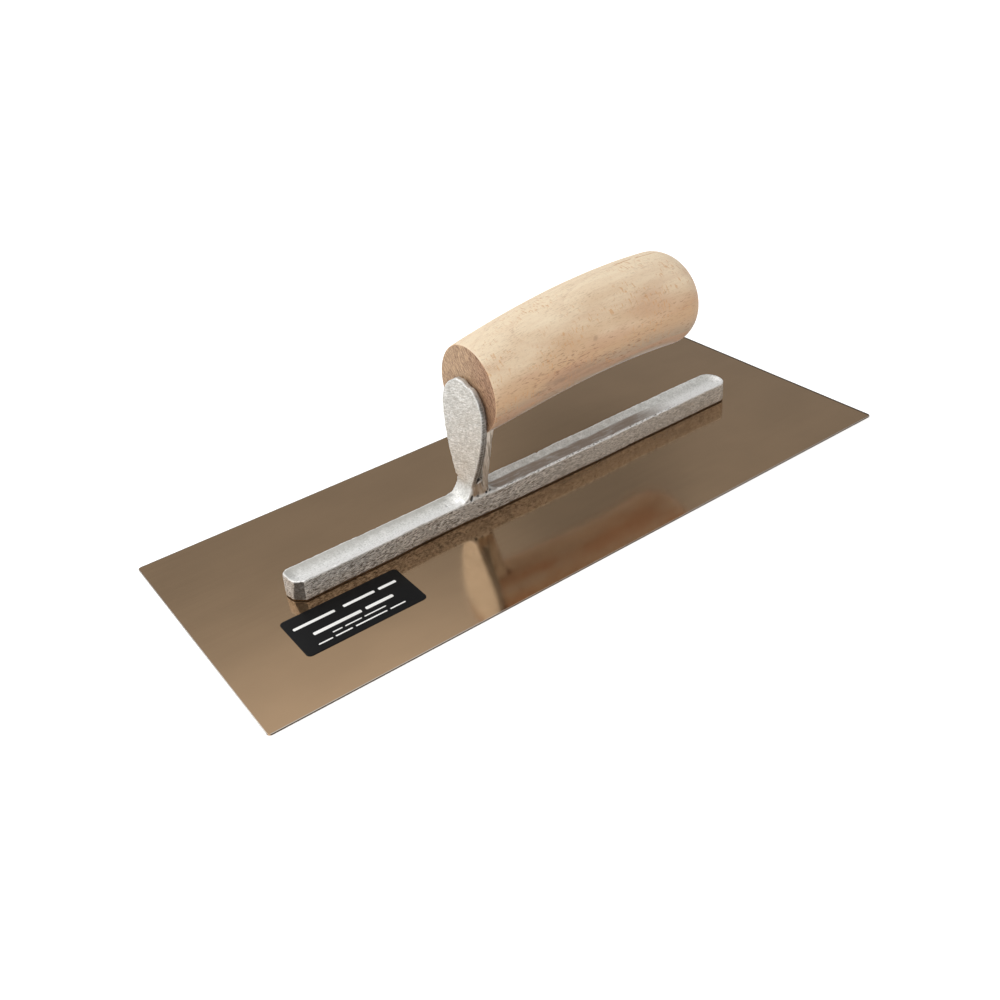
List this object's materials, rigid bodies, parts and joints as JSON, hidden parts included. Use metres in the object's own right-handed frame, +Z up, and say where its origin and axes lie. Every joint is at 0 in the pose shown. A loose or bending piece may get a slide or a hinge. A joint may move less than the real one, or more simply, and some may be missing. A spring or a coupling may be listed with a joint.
{
  "type": "finishing trowel",
  "caption": "Flat finishing trowel: thin rectangular steel blade, cast bar and leaning shank riveted to its back, and a round humped wooden handle over the heel half.",
  "frame": {"origin": "centre of the blade's working face, which is the bottom centre of the whole box", "axes": "+X along the blade from the toe, where the shank stands, to the heel; +Z up, away from the work"},
  "size_m": [0.3048, 0.1206, 0.084],
  "materials": {
    "blade_steel": "polished spring stainless with a golden tint, fine brush marks",
    "cast_aluminium": "as cast, tumbled, sides ground",
    "beech": "sanded beech, unvarnished",
    "rivet_steel": "ground flush",
    "screw_steel": "zinc plated",
    "washer_brass": "satin",
    "label_black": "satin film with plain pale bars"
  },
  "bodies": {
    "root": {"blade": "blade_steel", "mounting": "cast_aluminium", "handle": "beech", "blade_rivets": "rivet_steel", "take_up_screw": "screw_steel", "screw_washer": "washer_brass", "label": "label_black"}
  },
  "joints": []
}
